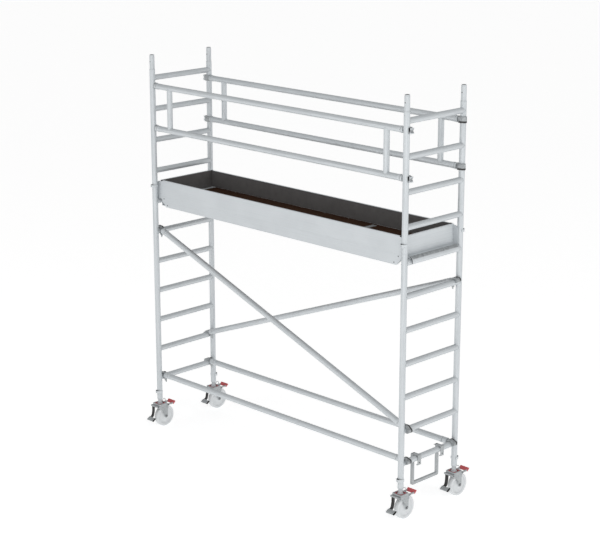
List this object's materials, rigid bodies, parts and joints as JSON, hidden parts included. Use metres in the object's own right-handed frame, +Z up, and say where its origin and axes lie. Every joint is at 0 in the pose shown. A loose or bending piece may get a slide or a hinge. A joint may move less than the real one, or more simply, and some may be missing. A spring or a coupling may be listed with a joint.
{
  "type": "mobile tower scaffold",
  "caption": "Aluminium mobile tower scaffold: ladder frames on braked casters, boarded platform with toe boards, double guardrails, diagonals, base tubes and an access stirrup.",
  "frame": {"origin": "on the floor, midway between the four standards", "axes": "+X along the bay towards the end with the access stirrup, +Y across the bay towards the side the casters trail to, +Z up"},
  "size_m": [3.114, 0.952, 3.4903],
  "materials": {
    "aluminium_tube": "drawn tube, lengthwise ribs, light satin",
    "aluminium_profile": "extruded profile, satin",
    "zinc_steel": "bright zinc plated",
    "dark_steel": "dark coated steel, worn at the edges",
    "wheel_nylon": "grey moulded nylon",
    "red_plastic": "ribbed red plastic sleeve",
    "toe_board": "board faced with aluminium outside and dark film inside",
    "deck_ply": "dark brown film-faced birch ply with an anti-slip print",
    "stirrup_metal": "grey powder coat"
  },
  "bodies": {
    "tower": {"lower_frame_left": "aluminium_tube", "upper_frame_left": "aluminium_tube", "platform_hook_left": "aluminium_profile", "toe_board_left": "toe_board", "lower_frame_right": "aluminium_tube", "upper_frame_right": "aluminium_tube", "platform_hook_right": "aluminium_profile", "toe_board_right": "toe_board", "guardrail_front": "aluminium_tube", "platform_beam_front": "aluminium_profile", "toe_board_front": "toe_board", "base_tube_front": "aluminium_tube", "diagonal_front": "aluminium_tube", "caster_front_left_stem": "zinc_steel", "caster_front_right_stem": "zinc_steel", "guardrail_back": "aluminium_tube", "platform_beam_back": "aluminium_profile", "toe_board_back": "toe_board", "base_tube_back": "aluminium_tube", "diagonal_back": "aluminium_tube", "caster_back_left_stem": "zinc_steel", "caster_back_right_stem": "zinc_steel", "deck_panel_main": "deck_ply", "deck_panel_end": "deck_ply", "deck_cross_member": "aluminium_profile", "access_stirrup": "stirrup_metal"},
    "caster_front_left": {"caster_front_left_fork": "zinc_steel"},
    "wheel_front_left": {"caster_front_left_wheel": "wheel_nylon"},
    "pedal_front_left": {"caster_front_left_brake_pedal": "dark_steel"},
    "lever_front_left": {"caster_front_left_release_lever": "red_plastic"},
    "frame_clip_front_left": {"frame_clip_front_left": "zinc_steel"},
    "caster_clip_front_left": {"caster_clip_front_left": "zinc_steel"},
    "caster_front_right": {"caster_front_right_fork": "zinc_steel"},
    "wheel_front_right": {"caster_front_right_wheel": "wheel_nylon"},
    "pedal_front_right": {"caster_front_right_brake_pedal": "dark_steel"},
    "lever_front_right": {"caster_front_right_release_lever": "red_plastic"},
    "frame_clip_front_right": {"frame_clip_front_right": "zinc_steel"},
    "caster_clip_front_right": {"caster_clip_front_right": "zinc_steel"},
    "caster_back_left": {"caster_back_left_fork": "zinc_steel"},
    "wheel_back_left": {"caster_back_left_wheel": "wheel_nylon"},
    "pedal_back_left": {"caster_back_left_brake_pedal": "dark_steel"},
    "lever_back_left": {"caster_back_left_release_lever": "red_plastic"},
    "frame_clip_back_left": {"frame_clip_back_left": "zinc_steel"},
    "caster_clip_back_left": {"caster_clip_back_left": "zinc_steel"},
    "caster_back_right": {"caster_back_right_fork": "zinc_steel"},
    "wheel_back_right": {"caster_back_right_wheel": "wheel_nylon"},
    "pedal_back_right": {"caster_back_right_brake_pedal": "dark_steel"},
    "lever_back_right": {"caster_back_right_release_lever": "red_plastic"},
    "frame_clip_back_right": {"frame_clip_back_right": "zinc_steel"},
    "caster_clip_back_right": {"caster_clip_back_right": "zinc_steel"},
    "base_tube_front_latch_left": {"base_tube_front_latch_left": "dark_steel"},
    "base_tube_front_latch_right": {"base_tube_front_latch_right": "dark_steel"},
    "base_tube_back_latch_left": {"base_tube_back_latch_left": "dark_steel"},
    "base_tube_back_latch_right": {"base_tube_back_latch_right": "dark_steel"},
    "diagonal_front_latch_left": {"diagonal_front_latch_left": "dark_steel"},
    "diagonal_front_latch_right": {"diagonal_front_latch_right": "dark_steel"},
    "diagonal_back_latch_left": {"diagonal_back_latch_left": "dark_steel"},
    "diagonal_back_latch_right": {"diagonal_back_latch_right": "dark_steel"},
    "hatch": {"deck_hatch": "deck_ply"},
    "pull_ring": {"hatch_pull_ring": "zinc_steel"}
  },
  "joints": [
    {"name": "caster_front_left_swivel", "type": "hinge", "parent": "tower", "child": "caster_front_left", "pos_m": [-1.5, -0.336, 0.22], "axis": [0, 0, 1], "continuous": true},
    {"name": "wheel_front_left_spin", "type": "hinge", "parent": "caster_front_left", "child": "wheel_front_left", "pos_m": [-1.5, -0.29, 0.1], "axis": [1, 0, 0], "continuous": true},
    {"name": "pedal_front_left_press", "type": "hinge", "parent": "caster_front_left", "child": "pedal_front_left", "pos_m": [-1.5, -0.396, 0.212], "axis": [-1, 0, 0], "range_deg": [0, 14]},
    {"name": "lever_front_left_release", "type": "hinge", "parent": "caster_front_left", "child": "lever_front_left", "pos_m": [-1.5, -0.276, 0.212], "axis": [-1, 0, 0], "range_deg": [0, 14]},
    {"name": "frame_clip_front_left_pull", "type": "slide", "parent": "tower", "child": "frame_clip_front_left", "axis": [0, -1, 0], "range_m": [0, 0.04]},
    {"name": "caster_clip_front_left_pull", "type": "slide", "parent": "tower", "child": "caster_clip_front_left", "axis": [0, -1, 0], "range_m": [0, 0.04]},
    {"name": "caster_front_right_swivel", "type": "hinge", "parent": "tower", "child": "caster_front_right", "pos_m": [1.5, -0.336, 0.22], "axis": [0, 0, 1], "continuous": true},
    {"name": "wheel_front_right_spin", "type": "hinge", "parent": "caster_front_right", "child": "wheel_front_right", "pos_m": [1.5, -0.29, 0.1], "axis": [1, 0, 0], "continuous": true},
    {"name": "pedal_front_right_press", "type": "hinge", "parent": "caster_front_right", "child": "pedal_front_right", "pos_m": [1.5, -0.396, 0.212], "axis": [-1, 0, 0], "range_deg": [0, 14]},
    {"name": "lever_front_right_release", "type": "hinge", "parent": "caster_front_right", "child": "lever_front_right", "pos_m": [1.5, -0.276, 0.212], "axis": [-1, 0, 0], "range_deg": [0, 14]},
    {"name": "frame_clip_front_right_pull", "type": "slide", "parent": "tower", "child": "frame_clip_front_right", "axis": [0, -1, 0], "range_m": [0, 0.04]},
    {"name": "caster_clip_front_right_pull", "type": "slide", "parent": "tower", "child": "caster_clip_front_right", "axis": [0, -1, 0], "range_m": [0, 0.04]},
    {"name": "caster_back_left_swivel", "type": "hinge", "parent": "tower", "child": "caster_back_left", "pos_m": [-1.5, 0.336, 0.22], "axis": [0, 0, 1], "continuous": true},
    {"name": "wheel_back_left_spin", "type": "hinge", "parent": "caster_back_left", "child": "wheel_back_left", "pos_m": [-1.5, 0.382, 0.1], "axis": [1, 0, 0], "continuous": true},
    {"name": "pedal_back_left_press", "type": "hinge", "parent": "caster_back_left", "child": "pedal_back_left", "pos_m": [-1.5, 0.276, 0.212], "axis": [-1, 0, 0], "range_deg": [0, 14]},
    {"name": "lever_back_left_release", "type": "hinge", "parent": "caster_back_left", "child": "lever_back_left", "pos_m": [-1.5, 0.396, 0.212], "axis": [-1, 0, 0], "range_deg": [0, 14]},
    {"name": "frame_clip_back_left_pull", "type": "slide", "parent": "tower", "child": "frame_clip_back_left", "axis": [0, 1, 0], "range_m": [0, 0.04]},
    {"name": "caster_clip_back_left_pull", "type": "slide", "parent": "tower", "child": "caster_clip_back_left", "axis": [0, 1, 0], "range_m": [0, 0.04]},
    {"name": "caster_back_right_swivel", "type": "hinge", "parent": "tower", "child": "caster_back_right", "pos_m": [1.5, 0.336, 0.22], "axis": [0, 0, 1], "continuous": true},
    {"name": "wheel_back_right_spin", "type": "hinge", "parent": "caster_back_right", "child": "wheel_back_right", "pos_m": [1.5, 0.382, 0.1], "axis": [1, 0, 0], "continuous": true},
    {"name": "pedal_back_right_press", "type": "hinge", "parent": "caster_back_right", "child": "pedal_back_right", "pos_m": [1.5, 0.276, 0.212], "axis": [-1, 0, 0], "range_deg": [0, 14]},
    {"name": "lever_back_right_release", "type": "hinge", "parent": "caster_back_right", "child": "lever_back_right", "pos_m": [1.5, 0.396, 0.212], "axis": [-1, 0, 0], "range_deg": [0, 14]},
    {"name": "frame_clip_back_right_pull", "type": "slide", "parent": "tower", "child": "frame_clip_back_right", "axis": [0, 1, 0], "range_m": [0, 0.04]},
    {"name": "caster_clip_back_right_pull", "type": "slide", "parent": "tower", "child": "caster_clip_back_right", "axis": [0, 1, 0], "range_m": [0, 0.04]},
    {"name": "base_tube_front_latch_left_release", "type": "hinge", "parent": "tower", "child": "base_tube_front_latch_left", "pos_m": [-1.4635, -0.286, 0.483], "axis": [0, -1, 0], "range_deg": [0, 35], "stiffness_Nm_per_rad": 0.3, "springref_deg": -17.19},
    {"name": "base_tube_front_latch_right_release", "type": "hinge", "parent": "tower", "child": "base_tube_front_latch_right", "pos_m": [1.4635, -0.286, 0.483], "axis": [0, 1, 0], "range_deg": [0, 35], "stiffness_Nm_per_rad": 0.3, "springref_deg": -17.19},
    {"name": "base_tube_back_latch_left_release", "type": "hinge", "parent": "tower", "child": "base_tube_back_latch_left", "pos_m": [-1.4635, 0.286, 0.483], "axis": [0, -1, 0], "range_deg": [0, 35], "stiffness_Nm_per_rad": 0.3, "springref_deg": -17.19},
    {"name": "base_tube_back_latch_right_release", "type": "hinge", "parent": "tower", "child": "base_tube_back_latch_right", "pos_m": [1.4635, 0.286, 0.483], "axis": [0, 1, 0], "range_deg": [0, 35], "stiffness_Nm_per_rad": 0.3, "springref_deg": -17.19},
    {"name": "diagonal_front_latch_left_release", "type": "hinge", "parent": "tower", "child": "diagonal_front_latch_left", "pos_m": [-1.4665, -0.286, 1.87036], "axis": [0, -1, 0], "range_deg": [0, 35], "stiffness_Nm_per_rad": 0.3, "springref_deg": -17.19},
    {"name": "diagonal_front_latch_right_release", "type": "hinge", "parent": "tower", "child": "diagonal_front_latch_right", "pos_m": [1.46511, -0.286, 0.77589], "axis": [0, 1, 0], "range_deg": [0, 35], "stiffness_Nm_per_rad": 0.3, "springref_deg": -17.19},
    {"name": "diagonal_back_latch_left_release", "type": "hinge", "parent": "tower", "child": "diagonal_back_latch_left", "pos_m": [-1.46511, 0.286, 0.77589], "axis": [0, -1, 0], "range_deg": [0, 35], "stiffness_Nm_per_rad": 0.3, "springref_deg": -17.19},
    {"name": "diagonal_back_latch_right_release", "type": "hinge", "parent": "tower", "child": "diagonal_back_latch_right", "pos_m": [1.4665, 0.286, 1.87036], "axis": [0, 1, 0], "range_deg": [0, 35], "stiffness_Nm_per_rad": 0.3, "springref_deg": -17.19},
    {"name": "hatch_lift", "type": "hinge", "parent": "tower", "child": "hatch", "pos_m": [0.6407, 0, 2.212], "axis": [0, -1, 0], "range_deg": [0, 95]},
    {"name": "pull_ring_lift", "type": "hinge", "parent": "hatch", "child": "pull_ring", "pos_m": [1.1307, 0, 2.216], "axis": [0, 1, 0], "range_deg": [0, 90]}
  ],
  "couplings": [
    {"joint": "lever_front_left_release", "follows": "pedal_front_left_press", "ratio": 1},
    {"joint": "lever_front_right_release", "follows": "pedal_front_right_press", "ratio": 1},
    {"joint": "lever_back_left_release", "follows": "pedal_back_left_press", "ratio": 1},
    {"joint": "lever_back_right_release", "follows": "pedal_back_right_press", "ratio": 1}
  ]
}
